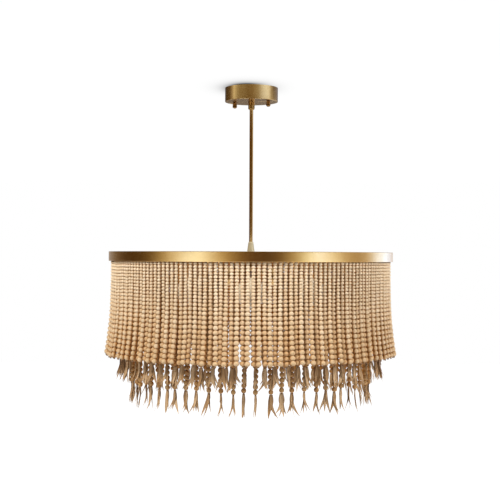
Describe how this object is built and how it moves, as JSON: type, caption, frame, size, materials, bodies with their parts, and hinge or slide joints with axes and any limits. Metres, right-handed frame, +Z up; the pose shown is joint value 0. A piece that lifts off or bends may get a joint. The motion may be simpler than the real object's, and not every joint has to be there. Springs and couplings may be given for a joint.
{
  "type": "beaded chandelier",
  "caption": "Drum chandelier: graded strands of round wooden beads hang in tiers from a flat satin brass ring, on a thin stem under a small round canopy.",
  "frame": {"origin": "the middle of the canopy at the ceiling, where the mounting plate rests on the ceiling", "axes": "+Z up along the stem, away from the room; -Y towards the viewer of the picture; +X to the viewer's right"},
  "size_m": [0.6212, 0.6212, 0.6768],
  "materials": {
    "satin_brass": "satin, lightly aged",
    "zinc_steel": "zinc plated",
    "green_screw": "green passivated",
    "nylon": "moulded",
    "bronze_steel": "bronze lacquer, satin",
    "phenolic": "moulded, slightly glossy",
    "frosted_glass": "frosted white",
    "cable": "sheathed lead",
    "outer_beads": "turned wood, matt, whitewashed",
    "mid_beads": "turned wood, matt",
    "inner_beads": "turned wood, matt",
    "leaf_ribbon": "dry leaf strips, matt",
    "bead_cord": "waxed twisted cord"
  },
  "bodies": {
    "ceiling": {"mounting_plate": "zinc_steel", "earth_screw": "green_screw", "canopy_cover": "satin_brass", "canopy_nipple": "zinc_steel", "canopy_locknut": "zinc_steel", "swivel_collar": "satin_brass", "canopy_stud_1": "zinc_steel", "canopy_stud_2": "zinc_steel", "canopy_nut_1": "satin_brass", "canopy_nut_2": "satin_brass"},
    "swivel": {"swivel_seat": "nylon"},
    "frame": {"swivel_ball": "satin_brass", "stem": "satin_brass", "stem_coupling": "satin_brass", "hub": "satin_brass", "hub_cap": "satin_brass", "ring_band": "satin_brass", "wiring_lead": "cable", "frame_arm_1": "bronze_steel", "frame_arm_2": "bronze_steel", "frame_arm_3": "bronze_steel", "frame_arm_4": "bronze_steel", "lamp_cup_1": "satin_brass", "lamp_cup_2": "satin_brass", "lamp_cup_3": "satin_brass", "lamp_cup_4": "satin_brass", "lampholder_1": "phenolic", "lampholder_2": "phenolic", "lampholder_3": "phenolic", "lampholder_4": "phenolic", "bulb_1": "frosted_glass", "bulb_2": "frosted_glass", "bulb_3": "frosted_glass", "bulb_4": "frosted_glass", "outer_rail": "bronze_steel", "mid_rail": "bronze_steel", "inner_rail": "bronze_steel"},
    "outer_strands_01": {"outer_strands_01": "outer_beads"},
    "outer_strands_02": {"outer_strands_02": "outer_beads"},
    "outer_strands_03": {"outer_strands_03": "outer_beads"},
    "outer_strands_04": {"outer_strands_04": "outer_beads"},
    "outer_strands_05": {"outer_strands_05": "outer_beads"},
    "outer_strands_06": {"outer_strands_06": "outer_beads"},
    "outer_strands_07": {"outer_strands_07": "outer_beads"},
    "outer_strands_08": {"outer_strands_08": "outer_beads"},
    "outer_strands_09": {"outer_strands_09": "outer_beads"},
    "outer_strands_10": {"outer_strands_10": "outer_beads"},
    "mid_strands_01": {"mid_strands_01": "mid_beads"},
    "mid_strands_02": {"mid_strands_02": "mid_beads"},
    "mid_strands_03": {"mid_strands_03": "mid_beads"},
    "mid_strands_04": {"mid_strands_04": "mid_beads"},
    "mid_strands_05": {"mid_strands_05": "mid_beads"},
    "mid_strands_06": {"mid_strands_06": "mid_beads"},
    "inner_strands_01": {"inner_strands_01": "inner_beads"},
    "inner_strands_02": {"inner_strands_02": "inner_beads"},
    "inner_strands_03": {"inner_strands_03": "inner_beads"},
    "inner_strands_04": {"inner_strands_04": "inner_beads"},
    "inner_strands_05": {"inner_strands_05": "inner_beads"},
    "inner_strands_06": {"inner_strands_06": "inner_beads"}
  },
  "joints": [
    {"name": "swivel_turn", "type": "hinge", "parent": "ceiling", "child": "swivel", "pos_m": [0, 0, -0.0403], "axis": [0, 0, 1], "range_deg": [-170, 170]},
    {"name": "swivel_tilt", "type": "hinge", "parent": "swivel", "child": "frame", "pos_m": [0, 0, -0.0403], "axis": [1, 0, 0], "range_deg": [-10, 10]},
    {"name": "outer_swing_01", "type": "hinge", "parent": "frame", "child": "outer_strands_01", "pos_m": [0.29499, 0, -0.3646], "axis": [0, -1, 0], "range_deg": [-0.6, 18]},
    {"name": "outer_swing_02", "type": "hinge", "parent": "frame", "child": "outer_strands_02", "pos_m": [0.23865, 0.17339, -0.3646], "axis": [0.5878, -0.809, 0], "range_deg": [-0.6, 18]},
    {"name": "outer_swing_03", "type": "hinge", "parent": "frame", "child": "outer_strands_03", "pos_m": [0.09116, 0.28055, -0.3646], "axis": [0.9511, -0.309, 0], "range_deg": [-0.6, 18]},
    {"name": "outer_swing_04", "type": "hinge", "parent": "frame", "child": "outer_strands_04", "pos_m": [-0.09116, 0.28055, -0.3646], "axis": [0.9511, 0.309, 0], "range_deg": [-0.6, 18]},
    {"name": "outer_swing_05", "type": "hinge", "parent": "frame", "child": "outer_strands_05", "pos_m": [-0.23865, 0.17339, -0.3646], "axis": [0.5878, 0.809, 0], "range_deg": [-0.6, 18]},
    {"name": "outer_swing_06", "type": "hinge", "parent": "frame", "child": "outer_strands_06", "pos_m": [-0.29499, 0, -0.3646], "axis": [0, 1, 0], "range_deg": [-0.6, 18]},
    {"name": "outer_swing_07", "type": "hinge", "parent": "frame", "child": "outer_strands_07", "pos_m": [-0.23865, -0.17339, -0.3646], "axis": [-0.5878, 0.809, 0], "range_deg": [-0.6, 18]},
    {"name": "outer_swing_08", "type": "hinge", "parent": "frame", "child": "outer_strands_08", "pos_m": [-0.09116, -0.28055, -0.3646], "axis": [-0.9511, 0.309, 0], "range_deg": [-0.6, 18]},
    {"name": "outer_swing_09", "type": "hinge", "parent": "frame", "child": "outer_strands_09", "pos_m": [0.09116, -0.28055, -0.3646], "axis": [-0.9511, -0.309, 0], "range_deg": [-0.6, 18]},
    {"name": "outer_swing_10", "type": "hinge", "parent": "frame", "child": "outer_strands_10", "pos_m": [0.23865, -0.17339, -0.3646], "axis": [-0.5878, -0.809, 0], "range_deg": [-0.6, 18]},
    {"name": "mid_swing_01", "type": "hinge", "parent": "frame", "child": "mid_strands_01", "pos_m": [0.26833, 0, -0.3646], "axis": [0, -1, 0], "range_deg": [-2.5, 3]},
    {"name": "mid_swing_02", "type": "hinge", "parent": "frame", "child": "mid_strands_02", "pos_m": [0.13417, 0.23239, -0.3646], "axis": [0.866, -0.5, 0], "range_deg": [-2.5, 3]},
    {"name": "mid_swing_03", "type": "hinge", "parent": "frame", "child": "mid_strands_03", "pos_m": [-0.13417, 0.23239, -0.3646], "axis": [0.866, 0.5, 0], "range_deg": [-2.5, 3]},
    {"name": "mid_swing_04", "type": "hinge", "parent": "frame", "child": "mid_strands_04", "pos_m": [-0.26833, 0, -0.3646], "axis": [0, 1, 0], "range_deg": [-2.5, 3]},
    {"name": "mid_swing_05", "type": "hinge", "parent": "frame", "child": "mid_strands_05", "pos_m": [-0.13417, -0.23239, -0.3646], "axis": [-0.866, 0.5, 0], "range_deg": [-2.5, 3]},
    {"name": "mid_swing_06", "type": "hinge", "parent": "frame", "child": "mid_strands_06", "pos_m": [0.13417, -0.23239, -0.3646], "axis": [-0.866, -0.5, 0], "range_deg": [-2.5, 3]},
    {"name": "inner_swing_01", "type": "hinge", "parent": "frame", "child": "inner_strands_01", "pos_m": [0.24542, 0, -0.3646], "axis": [0, -1, 0], "range_deg": [-1.8, 3]},
    {"name": "inner_swing_02", "type": "hinge", "parent": "frame", "child": "inner_strands_02", "pos_m": [0.12271, 0.21254, -0.3646], "axis": [0.866, -0.5, 0], "range_deg": [-1.8, 3]},
    {"name": "inner_swing_03", "type": "hinge", "parent": "frame", "child": "inner_strands_03", "pos_m": [-0.12271, 0.21254, -0.3646], "axis": [0.866, 0.5, 0], "range_deg": [-1.8, 3]},
    {"name": "inner_swing_04", "type": "hinge", "parent": "frame", "child": "inner_strands_04", "pos_m": [-0.24542, 0, -0.3646], "axis": [0, 1, 0], "range_deg": [-1.8, 3]},
    {"name": "inner_swing_05", "type": "hinge", "parent": "frame", "child": "inner_strands_05", "pos_m": [-0.12271, -0.21254, -0.3646], "axis": [-0.866, 0.5, 0], "range_deg": [-1.8, 3]},
    {"name": "inner_swing_06", "type": "hinge", "parent": "frame", "child": "inner_strands_06", "pos_m": [0.12271, -0.21254, -0.3646], "axis": [-0.866, -0.5, 0], "range_deg": [-1.8, 3]}
  ]
}
